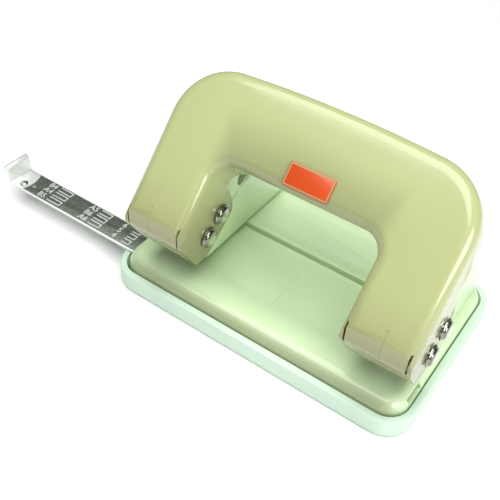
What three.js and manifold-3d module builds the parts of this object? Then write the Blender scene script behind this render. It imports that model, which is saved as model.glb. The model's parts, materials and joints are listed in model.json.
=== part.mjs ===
// Two-hole punch for an office desk, in millimetres, +Z up.
// The origin is the middle of the underside. The paper goes in from -Y, and the gauge slides out to -X.
import * as THREE from 'three';
import { mergeVertices } from 'three/addons/utils/BufferGeometryUtils.js';
import Module from 'manifold-3d';

const wasm = await Module();
wasm.setup();

// Driving dimensions

const HOLE_PITCH = 80;
const PUNCH_RADIUS = 3;
const PUNCH_Y = -14.2;
const STOP_DISTANCE = 12;
const RUN = 0.1;
const GAP = 0.3;

const TRAY = { left: -61, right: 54.2, halfY: 36.5, height: 8, corner: 10, wall: 2.3, floor: 1.3, edge: 1.2 };
const BASE = {
  left: -58.2,
  right: 51.5,
  halfY: 33.8,
  corner: 8.5,
  sheet: 1.2,
  skirtZ: 2.6,
  tableZ: 12.2,
  edge: 5,
};
const PLATEAU = { topZ: 14.4, frontY: 5.8, inset: 4.3, corner: 5, edge: 0.9 };

const HANDLE = {
  tilt: THREE.MathUtils.degToRad(47),
  foldY: -35.6,
  foldZ: 40.5,
  sheet: 1.2,
  legHalf: 11.4,
  top: 52.4,
  crown: 1.2,
  innerTop: 25.2,
  outerCorner: 19,
  innerCorner: 6.5,
  edge: 4,
  below: 16,
  deep: 46,
};
const LEG_FRONT = { y: -36.1, topZ: 40.7, bendZ: 33.3, lowY: -29.2, lowZ: 22.4, slit: 0.6, slitTop: 40.3 };

const PIVOT = { y: -21.9, z: 28.9 };
const DRIVE = { y: -15.1, z: 34.2 };
const PIN = { radius: 1.5, head: 3.7, dome: 2 };
const TRAVEL_ANGLE = 32;

const CHEEK = { outer: 8.9, sheet: 1.2, bottomZ: 14.7 };
const GUIDE_WEB = { frontY: -18.2, rearY: 28 };
const LIGHTENING_HOLE = { y: 1.2, z: 38.3, radius: 3.6 };
const BRACKET_RIVETS = [10, 24];
const BRACKET_RIVET = { shank: 1.4, head: 2.6, rise: 0.9, lowZ: 12 };

const DIE = { outer: 5, bottomZ: 10.9, land: 0.4 };
const PUNCH = {
  tipZ: 14.9,
  headZ: 30,
  headTop: 37.8,
  headHalfX: 5,
  headHalfY: 4.6,
  slotHalfY: 2.7,
  slotHalfZ: 1.9,
};
const WASHER = { bottomZ: 16.2, thick: 0.6, inner: 3.3, outer: 6.2 };
const SPRING = { radius: 4.5, wire: 0.55, curls: 6, stepsPerCurl: 8, sides: 5 };

const STRIP = { hookX: -120.5, innerX: -16, y: -22.1, halfY: 5.3, bottomZ: 8.4, thick: 0.8 };
const HOOK = { height: 7.6, lip: 1.7, drop: 1.4 };
const STRIP_NOTCH = { halfY: 5.9, bottomZ: 8.02, topZ: 9.9 };
const FAR_NOTCH = { halfY: 4.2, topZ: 10.4 };
const STRIP_GUIDES = { left_gauge_guide: -48, right_gauge_guide: -30 };
const GUIDE = {
  long: 4,
  halfY: 6.7,
  bottomZ: 7.5,
  topZ: 10.7,
  windowHalfY: 5.6,
  windowLow: 8.1,
  windowHigh: 9.9,
};
const LEAF = { left: -45.4, right: -32.6, halfY: 2, thick: 0.3, footZ: 10.3, bow: 0.6 };
const END_RIVET = { x: -115.4, y: -24.6, radius: 1.5, rise: 0.5 };

const LABEL = { left: -5.6, right: 9.8, low: 26.8, high: 34.2, thick: 0.4, lift: 0.12 };

const sides = { left: -HOLE_PITCH / 2, right: HOLE_PITCH / 2 };

// Materials

const paint = (color, roughness) => new THREE.MeshStandardMaterial({ color, roughness, metalness: 0 });
const metal = (color, roughness) => new THREE.MeshStandardMaterial({ color, roughness, metalness: 1 });
const creamPaint = paint(0xc9cfa0, 0.25);
const greenPaint = paint(0xc4e2b4, 0.35);
const palePlastic = paint(0xd3e8d6, 0.45);
const orangePaint = paint(0xe0561a, 0.4);
const chrome = metal(0xd8d8d8, 0.15);
const toolSteel = metal(0x9a9a98, 0.35);
const springSteel = metal(0x83858a, 0.3);
const zincSteel = metal(0xbfc1bd, 0.4);

// Solids: every boolean takes and gives back three geometries

function solidOf(geometry) {
  const bare = geometry.clone();
  bare.deleteAttribute('normal');
  bare.deleteAttribute('uv');
  const merged = mergeVertices(bare, 1e-4);
  return new wasm.Manifold(new wasm.Mesh({
    numProp: 3,
    vertProperties: new Float32Array(merged.attributes.position.array),
    triVerts: new Uint32Array(merged.index.array),
  }));
}

function geometryOf(solid) {
  const mesh = solid.getMesh();
  const geometry = new THREE.BufferGeometry();
  geometry.setAttribute('position', new THREE.BufferAttribute(new Float32Array(mesh.vertProperties), 3));
  geometry.setIndex(new THREE.BufferAttribute(new Uint32Array(mesh.triVerts), 1));
  geometry.computeVertexNormals();
  return geometry;
}

function carve(body, ...tools) {
  return tools.reduce((left, tool) => left.subtract(solidOf(tool)), solidOf(body));
}

function join(first, ...others) {
  return others.reduce((whole, other) => whole.add(solidOf(other)), solidOf(first));
}

function block(lowX, highX, lowY, highY, lowZ, highZ) {
  const geometry = new THREE.BoxGeometry(highX - lowX, highY - lowY, highZ - lowZ);
  return geometry.translate((lowX + highX) / 2, (lowY + highY) / 2, (lowZ + highZ) / 2);
}

// A round bar standing along Z
function post(x, y, radius, lowZ, highZ, segments = 24) {
  const geometry = new THREE.CylinderGeometry(radius, radius, highZ - lowZ, segments);
  return geometry.rotateX(Math.PI / 2).translate(x, y, (lowZ + highZ) / 2);
}

// A round bar lying along X
function rod(x, y, z, radius, length, segments = 16) {
  const geometry = new THREE.CylinderGeometry(radius, radius, length, segments);
  return geometry.rotateZ(Math.PI / 2).translate(x, y, z);
}

// A shape drawn in Y and Z, extruded along X
function sideExtrusion(shape, lowX, highX, curveSegments = 8) {
  const geometry = new THREE.ExtrudeGeometry(shape, { depth: highX - lowX, bevelEnabled: false, curveSegments });
  const yzx = new THREE.Matrix4().makeBasis(
    new THREE.Vector3(0, 1, 0),
    new THREE.Vector3(0, 0, 1),
    new THREE.Vector3(1, 0, 0),
  );
  return geometry.applyMatrix4(yzx).translate(lowX, 0, 0);
}

function outline(points) {
  return new THREE.Shape(points.map(([u, v]) => new THREE.Vector2(u, v)));
}

function roundedPlan(lowX, highX, lowY, highY, radius) {
  const shape = new THREE.Shape();
  shape.moveTo(highX, lowY + radius);
  shape.lineTo(highX, highY - radius);
  shape.absarc(highX - radius, highY - radius, radius, 0, Math.PI / 2);
  shape.absarc(lowX + radius, highY - radius, radius, Math.PI / 2, Math.PI);
  shape.absarc(lowX + radius, lowY + radius, radius, Math.PI, 1.5 * Math.PI);
  shape.absarc(highX - radius, lowY + radius, radius, 1.5 * Math.PI, 2 * Math.PI);
  shape.closePath();
  return shape;
}

// A plate with a rounded top edge: the plan shrinks by the edge radius and the bevel brings it back
function roundedPlate(box, corner, edge, lowZ, highZ, curveSegments = 5) {
  const plan = roundedPlan(box.lowX + edge, box.highX - edge, box.lowY + edge, box.highY - edge, corner - edge);
  const geometry = new THREE.ExtrudeGeometry(plan, {
    depth: highZ - lowZ,
    bevelSize: edge,
    bevelThickness: edge,
    bevelSegments: 3,
    curveSegments,
  });
  geometry.translate(0, 0, lowZ - edge);
  return solidOf(geometry).subtract(solidOf(block(-90, 90, -90, 90, lowZ - 30, lowZ)));
}

// Chip tray: a soft plastic pan that holds the punch from below

function chipTray() {
  const { left, right, halfY, height, corner, wall, floor, edge } = TRAY;
  const outer = new THREE.ExtrudeGeometry(
    roundedPlan(left + edge, right - edge, -halfY + edge, halfY - edge, corner - edge),
    { depth: height - 2 * edge, bevelSize: edge, bevelThickness: edge, bevelSegments: 3, curveSegments: 6 },
  ).translate(0, 0, edge);
  const innerY = halfY - wall;
  const inner = new THREE.ExtrudeGeometry(
    roundedPlan(left + wall, right - wall, -innerY, innerY, corner - wall),
    { depth: height, bevelEnabled: false, curveSegments: 6 },
  ).translate(0, 0, floor);
  return geometryOf(carve(outer, inner));
}

// Base plate: one pressing with the paper table in front and a raised plateau behind

function basePressing(inset) {
  const table = roundedPlate(
    { lowX: BASE.left + inset, highX: BASE.right - inset, lowY: -BASE.halfY + inset, highY: BASE.halfY - inset },
    BASE.corner - inset,
    BASE.edge - inset / 2,
    inset ? BASE.skirtZ - 1 : BASE.skirtZ,
    BASE.tableZ - inset,
  );
  const reach = PLATEAU.inset + inset;
  const plateau = roundedPlate(
    {
      lowX: BASE.left + reach,
      highX: BASE.right - reach,
      lowY: PLATEAU.frontY + inset,
      highY: BASE.halfY - reach,
    },
    PLATEAU.corner - inset,
    PLATEAU.edge,
    BASE.tableZ - 3,
    PLATEAU.topZ - inset,
  );
  return table.add(plateau);
}

function basePlate() {
  let plate = basePressing(0).subtract(basePressing(BASE.sheet));
  for (const x of Object.values(sides)) {
    const stopY = PUNCH_Y + STOP_DISTANCE;
    plate = plate.add(solidOf(block(x - 6, x + 6, stopY, stopY + 1.2, BASE.tableZ - 0.6, PLATEAU.topZ - 0.1)));
    plate = plate.subtract(solidOf(post(x, PUNCH_Y, DIE.outer + GAP, BASE.tableZ - 4, BASE.tableZ + 1)));
    for (const y of BRACKET_RIVETS) {
      plate = plate.subtract(solidOf(post(x, y, BRACKET_RIVET.shank + GAP, 10, 16, 16)));
    }
  }
  const { halfY, bottomZ, topZ } = STRIP_NOTCH;
  plate = plate.subtract(
    solidOf(block(BASE.left - 4, BASE.left + 6, STRIP.y - halfY, STRIP.y + halfY, bottomZ, topZ)),
  );
  const far = FAR_NOTCH;
  plate = plate.subtract(
    solidOf(block(BASE.right - 6, BASE.right + 4, STRIP.y - far.halfY, STRIP.y + far.halfY, bottomZ, far.topZ)),
  );
  return geometryOf(plate);
}

// Dies: hardened rings let into the table, each with a chamfered land

function die(x) {
  const bore = PUNCH_RADIUS + RUN;
  const profile = [
    [bore, DIE.bottomZ],
    [DIE.outer, DIE.bottomZ],
    [DIE.outer, BASE.tableZ - DIE.land],
    [DIE.outer - DIE.land, BASE.tableZ],
    [bore, BASE.tableZ],
    [bore, DIE.bottomZ],
  ];
  return turned(profile, 24).translate(x, PUNCH_Y, 0);
}

// A turned piece: [radius, height] points spun round Z
function turned(profile, segments) {
  const points = profile.map(([radius, height]) => new THREE.Vector2(radius, height));
  return new THREE.LatheGeometry(points, segments).rotateX(Math.PI / 2);
}

// Bracket: two cheeks and a web, folded from one sheet

function cheekShape() {
  const shape = new THREE.Shape();
  shape.moveTo(-15.5, CHEEK.bottomZ);
  shape.lineTo(29.5, CHEEK.bottomZ);
  shape.lineTo(29.5, 17);
  shape.lineTo(10, 38.4);
  shape.quadraticCurveTo(6.4, 43.2, 1, 43.6);
  shape.lineTo(-8, 44.4);
  shape.quadraticCurveTo(-19, 42, -24.5, 34);
  shape.absarc(PIVOT.y, PIVOT.z, 4.4, 0.7 * Math.PI, 1.15 * Math.PI);
  shape.lineTo(-19.6, 17.6);
  shape.quadraticCurveTo(-18.4, CHEEK.bottomZ, -15.5, CHEEK.bottomZ);
  return shape;
}

// The drive pin swings about the pivot, so its slot is an arc about the pivot
function driveSlotShape() {
  const reach = Math.hypot(DRIVE.y - PIVOT.y, DRIVE.z - PIVOT.z);
  const start = Math.atan2(DRIVE.z - PIVOT.z, DRIVE.y - PIVOT.y);
  const end = start - THREE.MathUtils.degToRad(TRAVEL_ANGLE);
  const clear = PIN.radius + 0.4;
  const margin = clear / reach;
  const shape = new THREE.Shape();
  shape.absarc(PIVOT.y, PIVOT.z, reach + clear, end - margin, start + margin);
  shape.absarc(PIVOT.y, PIVOT.z, reach - clear, start + margin, end - margin, true);
  shape.closePath();
  return shape;
}

function bracket(x) {
  const inner = CHEEK.outer - CHEEK.sheet;
  const webTop = CHEEK.bottomZ + CHEEK.sheet;
  const shape = cheekShape();
  let body = join(
    sideExtrusion(shape, x - CHEEK.outer, x - inner),
    sideExtrusion(shape, x + inner, x + CHEEK.outer),
    block(x - inner - 0.5, x + inner + 0.5, GUIDE_WEB.frontY, GUIDE_WEB.rearY, CHEEK.bottomZ, webTop),
  );
  const through = 2 * CHEEK.outer + 4;
  const cuts = [
    rod(x, PIVOT.y, PIVOT.z, PIN.radius + RUN, through),
    rod(x, LIGHTENING_HOLE.y, LIGHTENING_HOLE.z, LIGHTENING_HOLE.radius, through),
    sideExtrusion(driveSlotShape(), x - through / 2, x + through / 2, 8),
    post(x, PUNCH_Y, PUNCH_RADIUS + RUN, CHEEK.bottomZ - 1, webTop + 1),
    ...BRACKET_RIVETS.map((y) => post(x, y, BRACKET_RIVET.shank + GAP, 12, 18, 16)),
  ];
  for (const cut of cuts) {
    body = body.subtract(solidOf(cut));
  }
  return geometryOf(body);
}

function bracketRivet(x, y) {
  const { shank, head, rise, lowZ } = BRACKET_RIVET;
  const upper = CHEEK.bottomZ + CHEEK.sheet + GAP;
  const lower = PLATEAU.topZ - BASE.sheet - GAP;
  const profile = [
    [0, lowZ],
    [head, lowZ],
    [head, lower],
    [shank, lower],
    [shank, upper],
    [head, upper],
    [head * 0.75, upper + rise * 0.8],
    [0, upper + rise],
  ];
  return turned(profile, 16).translate(x, y, 0);
}

// Handle: a pressed arch with deep flanges, drawn flat and tilted about its fold line

function archOutline(inset) {
  const { legHalf, top, crown, innerTop, outerCorner, innerCorner, below } = HANDLE;
  const outerX = HOLE_PITCH / 2 + legHalf - inset;
  const innerX = HOLE_PITCH / 2 - legHalf + inset;
  const topY = top - inset;
  const archY = innerTop + inset;
  const outerR = outerCorner - inset;
  const innerR = innerCorner + inset;
  const low = -below - inset;
  const shape = new THREE.Shape();
  shape.moveTo(outerX, low);
  shape.lineTo(outerX, topY - outerR);
  shape.absarc(outerX - outerR, topY - outerR, outerR, 0, Math.PI / 2);
  shape.quadraticCurveTo(0, topY + 2 * crown, -outerX + outerR, topY);
  shape.absarc(-outerX + outerR, topY - outerR, outerR, Math.PI / 2, Math.PI);
  shape.lineTo(-outerX, low);
  shape.lineTo(-innerX, low);
  shape.lineTo(-innerX, archY - innerR);
  shape.absarc(-innerX + innerR, archY - innerR, innerR, Math.PI, Math.PI / 2, true);
  shape.lineTo(innerX - innerR, archY);
  shape.absarc(innerX - innerR, archY - innerR, innerR, Math.PI / 2, 0, true);
  shape.lineTo(innerX, low);
  shape.closePath();
  return shape;
}

function placeOnHandle(geometry) {
  return geometry.rotateX(HANDLE.tilt).translate(0, HANDLE.foldY, HANDLE.foldZ);
}

// The press rounds the face into its flanges, so the inner form has a smaller edge radius
function archSolid(inset) {
  const edge = HANDLE.edge - inset;
  const shape = archOutline(edge + inset);
  const geometry = new THREE.ExtrudeGeometry(shape, {
    depth: HANDLE.deep,
    bevelSize: edge,
    bevelThickness: edge,
    bevelSegments: 3,
    curveSegments: 6,
  });
  return solidOf(placeOnHandle(geometry.translate(0, 0, -HANDLE.deep - edge - inset)));
}

// What the press left of the flanges, seen from the side
function flangeShape() {
  const shape = new THREE.Shape();
  shape.moveTo(LEG_FRONT.y, HANDLE.foldZ);
  shape.lineTo(LEG_FRONT.y, LEG_FRONT.bendZ);
  shape.lineTo(LEG_FRONT.lowY, LEG_FRONT.lowZ);
  shape.quadraticCurveTo(-27.9, 20.6, -24.8, 20.5);
  shape.quadraticCurveTo(-22.2, 20.5, -19.2, 22.8);
  shape.lineTo(-10.4, 29.8);
  shape.quadraticCurveTo(-7.6, 32.6, -8.9, 37);
  shape.lineTo(-11.4, 43.4);
  shape.quadraticCurveTo(-12, 46, -8, 47.6);
  shape.quadraticCurveTo(-4.4, 50, -3.6, 56);
  shape.lineTo(-1.6, 66);
  shape.lineTo(2, 76);
  shape.lineTo(4, 90);
  shape.lineTo(-60, 90);
  shape.lineTo(-60, HANDLE.foldZ);
  shape.closePath();
  return shape;
}

// The front of a leg: the face's sheet folded down, then back to meet the flanges' lower corner
function legFrontShape() {
  const { y, topZ, bendZ, lowY, lowZ } = LEG_FRONT;
  const slope = new THREE.Vector2(lowY - y, lowZ - bendZ).normalize();
  const inward = new THREE.Vector2(-slope.y, slope.x).multiplyScalar(HANDLE.sheet);
  const bendDrop = (inward.x - HANDLE.sheet) * (slope.y / slope.x);
  return outline([
    [y, topZ],
    [y, bendZ],
    [lowY, lowZ],
    [lowY + inward.x, lowZ + inward.y],
    [y + HANDLE.sheet, bendZ + inward.y - bendDrop],
    [y + HANDLE.sheet, topZ],
  ]);
}

function handle() {
  let body = archSolid(0).subtract(archSolid(HANDLE.sheet));
  body = body.intersect(solidOf(sideExtrusion(flangeShape(), -60, 60)));
  const { y: frontY, bendZ, slit, slitTop } = LEG_FRONT;
  const half = HANDLE.legHalf - HANDLE.sheet / 2;
  const slitOuter = HANDLE.legHalf - HANDLE.sheet;
  for (const x of Object.values(sides)) {
    body = body.add(solidOf(sideExtrusion(legFrontShape(), x - half, x + half)));
    for (const edge of [x - slitOuter, x + slitOuter - slit]) {
      body = body.subtract(solidOf(block(edge, edge + slit, frontY - 1, frontY + 3, bendZ, slitTop)));
    }
    for (const pin of [PIVOT, DRIVE]) {
      body = body.subtract(solidOf(rod(x, pin.y, pin.z, PIN.radius + RUN, 2 * HANDLE.legHalf + 4)));
    }
  }
  return geometryOf(body);
}

// Pins: a straight shaft with a domed head riveted over at both ends

function domedPin(x, at) {
  const { radius, head, dome } = PIN;
  const seat = HANDLE.legHalf + GAP;
  const domePoints = [0, 35, 70].map((degrees) => {
    const angle = THREE.MathUtils.degToRad(degrees);
    return [head * Math.cos(angle), seat + 0.5 + (dome - 0.5) * Math.sin(angle)];
  });
  const half = [[radius, seat], [head, seat], ...domePoints, [0, seat + dome]];
  const mirrored = half.map(([r, h]) => [r, -h]).reverse();
  const geometry = turned([...mirrored, ...half], 16);
  return geometry.rotateY(Math.PI / 2).translate(x, at.y, at.z);
}

// Punches: a ground rod with a slotted head that the drive pin pushes down

function punch(x) {
  const { tipZ, headZ, headTop, headHalfX, headHalfY, slotHalfY, slotHalfZ } = PUNCH;
  const y = PUNCH_Y;
  const body = join(
    post(x, y, PUNCH_RADIUS, tipZ, headZ + 1),
    block(x - headHalfX, x + headHalfX, y - headHalfY, y + headHalfY, headZ, headTop),
  );
  const slot = block(x - 9, x + 9, y - slotHalfY, y + slotHalfY, DRIVE.z - slotHalfZ, DRIVE.z + slotHalfZ);
  const cup = turned([[0, 1.4], [PUNCH_RADIUS - 0.5, 0], [PUNCH_RADIUS - 0.5, -1], [0, -1]].reverse(), 24);
  return geometryOf(body.subtract(solidOf(slot)).subtract(solidOf(cup.translate(x, y, tipZ))));
}

function springWasher(x) {
  const { bottomZ, thick, inner, outer } = WASHER;
  const top = bottomZ + thick;
  const ring = [[inner, bottomZ], [outer, bottomZ], [outer, top], [inner, top], [inner, bottomZ]];
  return turned(ring, 24).translate(x, PUNCH_Y, 0);
}

// Return springs: one unbroken wire whose two ends run straight for a wire's width

function springPath() {
  const { radius, wire, curls, stepsPerCurl } = SPRING;
  const low = WASHER.bottomZ + WASHER.thick + GAP + wire;
  const high = PUNCH.headZ - GAP - wire;
  const steps = curls * stepsPerCurl;
  const helix = Array.from({ length: steps + 1 }, (_, step) => {
    const angle = (step / stepsPerCurl) * 2 * Math.PI;
    const height = low + ((high - low) * step) / steps;
    return new THREE.Vector3(radius * Math.cos(angle), radius * Math.sin(angle), height);
  });
  const first = helix[0].clone().add(new THREE.Vector3(0, -2 * wire, 0));
  const last = helix[steps].clone().add(new THREE.Vector3(0, 2 * wire, 0));
  return [first, ...helix, last];
}

// Sections square to the path, joined ring by ring and closed at both ends
function wireGeometry(path, radius, sidesPerRing) {
  const positions = [];
  const indices = [];
  path.forEach((point, index) => {
    const before = path[Math.max(index - 1, 0)];
    const after = path[Math.min(index + 1, path.length - 1)];
    const along = after.clone().sub(before).normalize();
    const across = new THREE.Vector3(point.x, point.y, 0).normalize();
    across.addScaledVector(along, -across.dot(along)).normalize();
    const up = along.clone().cross(across);
    for (let side = 0; side < sidesPerRing; side += 1) {
      const angle = (side / sidesPerRing) * 2 * Math.PI;
      const vertex = point.clone();
      vertex.addScaledVector(across, radius * Math.cos(angle));
      vertex.addScaledVector(up, radius * Math.sin(angle));
      positions.push(vertex.x, vertex.y, vertex.z);
    }
  });
  for (let ring = 0; ring < path.length - 1; ring += 1) {
    for (let side = 0; side < sidesPerRing; side += 1) {
      const next = (side + 1) % sidesPerRing;
      const a = ring * sidesPerRing + side;
      const b = ring * sidesPerRing + next;
      indices.push(a, b, b + sidesPerRing, a, b + sidesPerRing, a + sidesPerRing);
    }
  }
  const lastRing = (path.length - 1) * sidesPerRing;
  for (let side = 1; side < sidesPerRing - 1; side += 1) {
    indices.push(0, side + 1, side);
    indices.push(lastRing, lastRing + side, lastRing + side + 1);
  }
  const geometry = new THREE.BufferGeometry();
  geometry.setAttribute('position', new THREE.BufferAttribute(new Float32Array(positions), 3));
  geometry.setIndex(indices);
  geometry.computeVertexNormals();
  return geometry;
}

// The least clear distance between wire points at least half a curl apart
function leastGap(path, wireRadius, apart) {
  let least = Infinity;
  path.forEach((point, index) => {
    for (let other = index + apart; other < path.length; other += 1) {
      least = Math.min(least, point.distanceTo(path[other]) - 2 * wireRadius);
    }
  });
  return least;
}

function returnSpring(x) {
  return wireGeometry(springPath(), SPRING.wire, SPRING.sides).translate(x, PUNCH_Y, 0);
}

// Paper gauge: a steel strip with an upturned end, two guides under the table and a leaf that grips it

function gaugeStrip() {
  const { hookX, innerX, y, halfY, bottomZ, thick } = STRIP;
  const topZ = bottomZ + thick;
  const hookTop = bottomZ + HOOK.height;
  const shape = outline([
    [hookX, bottomZ],
    [innerX, bottomZ],
    [innerX, topZ],
    [hookX + thick, topZ],
    [hookX + thick, hookTop],
    [hookX - HOOK.lip, hookTop],
    [hookX - HOOK.lip, hookTop - HOOK.drop],
    [hookX, hookTop - HOOK.drop],
  ]);
  const strip = new THREE.ExtrudeGeometry(shape, { depth: 2 * halfY, bevelEnabled: false });
  strip.rotateX(Math.PI / 2).translate(0, y + halfY, 0);
  return geometryOf(carve(strip, post(END_RIVET.x, END_RIVET.y, 0.9, bottomZ - 1, topZ + 1, 16)));
}

function gaugeEndRivet() {
  const { x, y, radius, rise } = END_RIVET;
  const seat = STRIP.bottomZ + STRIP.thick + 0.1;
  const profile = [
    [0, STRIP.bottomZ],
    [0.8, STRIP.bottomZ],
    [0.8, seat],
    [radius, seat],
    [radius * 0.8, seat + rise * 0.7],
    [0, seat + rise],
  ];
  return turned(profile, 16).translate(x, y, 0);
}

function gaugeGuide(x) {
  const { long, halfY, bottomZ, topZ, windowHalfY, windowLow, windowHigh } = GUIDE;
  const body = block(x - long / 2, x + long / 2, STRIP.y - halfY, STRIP.y + halfY, bottomZ, topZ);
  const window = block(x - long, x + long, STRIP.y - windowHalfY, STRIP.y + windowHalfY, windowLow, windowHigh);
  return geometryOf(carve(body, window));
}

function gaugeLeafSpring() {
  const { left, right, halfY, thick, footZ, bow } = LEAF;
  const middle = (left + right) / 2;
  const shape = new THREE.Shape();
  shape.moveTo(left, footZ);
  shape.quadraticCurveTo(middle, footZ - 2 * bow, right, footZ);
  shape.lineTo(right, footZ + thick);
  shape.quadraticCurveTo(middle, footZ + thick - 2 * bow, left, footZ + thick);
  shape.closePath();
  const geometry = new THREE.ExtrudeGeometry(shape, { depth: 2 * halfY, bevelEnabled: false, curveSegments: 8 });
  return geometry.rotateX(Math.PI / 2).translate(0, STRIP.y + halfY, 0);
}

// Label: a bare coloured plate on the handle's face

function labelPlate() {
  const { left, right, low, high, thick, lift } = LABEL;
  return placeOnHandle(block(left, right, low, high, lift, lift + thick));
}

// Assembly

const punchAssembly = new THREE.Group();
punchAssembly.name = 'two_hole_punch';

function place(name, geometry, material) {
  const mesh = new THREE.Mesh(geometry, material.clone());
  mesh.name = name;
  punchAssembly.add(mesh);
}

place('chip_tray', chipTray(), palePlastic);
place('base_plate', basePlate(), greenPaint);
place('handle', handle(), creamPaint);
place('label_plate', labelPlate(), orangePaint);
for (const [side, x] of Object.entries(sides)) {
  place(`${side}_bracket`, bracket(x), greenPaint);
  place(`${side}_bracket_rivet_front`, bracketRivet(x, BRACKET_RIVETS[0]), zincSteel);
  place(`${side}_bracket_rivet_rear`, bracketRivet(x, BRACKET_RIVETS[1]), zincSteel);
  place(`${side}_die`, die(x), toolSteel);
  place(`${side}_punch`, punch(x), toolSteel);
  place(`${side}_spring_washer`, springWasher(x), zincSteel);
  place(`${side}_return_spring`, returnSpring(x), springSteel);
  place(`${side}_pivot_pin`, domedPin(x, PIVOT), chrome);
  place(`${side}_drive_pin`, domedPin(x, DRIVE), chrome);
}
place('gauge_strip', gaugeStrip(), zincSteel);
place('gauge_end_rivet', gaugeEndRivet(), chrome);
for (const [name, x] of Object.entries(STRIP_GUIDES)) {
  place(name, gaugeGuide(x), zincSteel);
}
place('gauge_leaf_spring', gaugeLeafSpring(), springSteel);

console.log('least gap in a return spring, mm', leastGap(springPath(), SPRING.wire, 6).toFixed(2));

export default punchAssembly;
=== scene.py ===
# %% [markdown]
# # A two-hole desk punch
# The punch is pressed from thin sheet steel: an arched handle in glossy cream enamel stands on
# two pale green brackets, which are riveted to a base plate with the two dies. A soft plastic
# tray clips on from below and catches the chips, and a steel strip slides out on the left as a
# paper gauge. Every piece here is laid over the same place as the working model's solid, so
# that it moves with the right body.

# %% Load the frame
import json
import math

import bmesh
import bpy
from mathutils import Matrix, Vector

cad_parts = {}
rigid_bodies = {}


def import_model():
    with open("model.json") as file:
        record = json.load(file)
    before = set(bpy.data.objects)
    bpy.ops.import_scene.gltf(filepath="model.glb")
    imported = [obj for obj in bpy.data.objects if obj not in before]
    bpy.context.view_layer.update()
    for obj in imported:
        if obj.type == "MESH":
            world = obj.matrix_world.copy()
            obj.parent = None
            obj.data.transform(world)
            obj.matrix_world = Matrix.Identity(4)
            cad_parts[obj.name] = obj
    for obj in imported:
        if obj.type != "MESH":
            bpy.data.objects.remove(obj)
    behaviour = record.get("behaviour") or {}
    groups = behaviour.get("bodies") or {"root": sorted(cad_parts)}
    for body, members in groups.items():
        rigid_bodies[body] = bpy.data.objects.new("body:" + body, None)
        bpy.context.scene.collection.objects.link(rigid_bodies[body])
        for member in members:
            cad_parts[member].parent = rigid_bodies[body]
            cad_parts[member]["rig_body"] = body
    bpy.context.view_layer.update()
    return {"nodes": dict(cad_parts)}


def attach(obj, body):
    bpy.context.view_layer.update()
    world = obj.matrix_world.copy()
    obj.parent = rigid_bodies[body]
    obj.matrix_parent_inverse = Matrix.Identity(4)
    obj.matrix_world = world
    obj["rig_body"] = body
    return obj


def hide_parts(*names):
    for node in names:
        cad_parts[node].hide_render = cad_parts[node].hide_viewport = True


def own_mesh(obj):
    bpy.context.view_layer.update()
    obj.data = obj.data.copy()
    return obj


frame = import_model()
MM = 0.001

# %% [markdown]
# ## Camera
# A photograph of a small thing on a desk is taken from near, so the perspective is strong. The
# camera is given the way a photographer would say it: how far round the object, how high, how
# far away, what it points at and how much it is tilted. The three directions of its frame are
# built from those, and no sensor shift is needed.

# %% Camera
CAMERA = {
    "azimuth": math.radians(32.42),
    "elevation": math.radians(43.91),
    "roll": math.radians(3.93),
    "distance": 269.34 * MM,
    "target": Vector((-21.94, -6.17, 15.0)) * MM,
    "lens": 55.6,
}


def camera_matrix(azimuth, elevation, roll, distance, target, **_):
    """Where the camera stands and how it is turned."""
    level = Vector((math.sin(azimuth), -math.cos(azimuth), 0)) * math.cos(elevation)
    back = level + Vector((0, 0, math.sin(elevation)))
    right = Vector((0, 0, 1)).cross(back).normalized()
    up = back.cross(right)
    rolled_right = math.cos(roll) * right + math.sin(roll) * up
    rolled_up = math.cos(roll) * up - math.sin(roll) * right
    turn = Matrix((rolled_right, rolled_up, back)).transposed()
    return Matrix.Translation(target + back * distance) @ turn.to_4x4()


camera_data = bpy.data.cameras.new("camera")
camera_data.lens = CAMERA["lens"]
camera_data.sensor_width = 36
camera_data.clip_start = 0.01
camera = bpy.data.objects.new("camera", camera_data)
camera.matrix_world = camera_matrix(**CAMERA)
bpy.context.scene.collection.objects.link(camera)
bpy.context.scene.camera = camera
print("camera at, mm", [round(c / MM) for c in camera.matrix_world.translation])

# %% [markdown]
# ## Floor and light
# The photograph is a product shot on white: the floor burns out and the shadows are faint. A
# pale floor, a dim white room and two large soft lamps give that. The lamp overhead draws
# the long highlight on the handle's upper edge, and the one on the right whitens the outer
# flank of the right leg.

# %% Floor and light
FLOOR = {"half": 3.0, "white": (0.93, 0.93, 0.93, 1), "roughness": 0.9}
ROOM_LIGHT = 0.12
LAMPS = {
    "key": {"place": (0, -0.08, 0.75), "aim": (0, 0, 0.03), "size": (0.85, 0.75), "watts": 8.2},
    "from_right": {"place": (0.66, -0.22, 0.30), "aim": (0.05, 0, 0.03), "size": (0.35, 0.35), "watts": 2.7},
}


def soft_lamp(name, place, aim, size, watts):
    """A rectangular soft box that points at a place on the object."""
    data = bpy.data.lights.new(name, "AREA")
    data.shape = "RECTANGLE"
    data.size, data.size_y = size
    data.energy = watts
    lamp = bpy.data.objects.new(name, data)
    lamp.location = place
    lamp.rotation_mode = "QUATERNION"
    lamp.rotation_quaternion = (Vector(aim) - Vector(place)).to_track_quat("-Z", "Y")
    bpy.context.scene.collection.objects.link(lamp)
    return lamp


floor_build = bmesh.new()
bmesh.ops.create_grid(floor_build, x_segments=2, y_segments=2, size=FLOOR["half"])
floor_mesh = bpy.data.meshes.new("floor")
floor_build.to_mesh(floor_mesh)
floor_build.free()
floor = bpy.data.objects.new("floor", floor_mesh)
bpy.context.scene.collection.objects.link(floor)
floor_finish = bpy.data.materials.new("floor_white")
floor_finish.use_nodes = True
floor_shader = floor_finish.node_tree.nodes["Principled BSDF"]
floor_shader.inputs["Base Color"].default_value = FLOOR["white"]
floor_shader.inputs["Roughness"].default_value = FLOOR["roughness"]
floor_mesh.materials.append(floor_finish)

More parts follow.
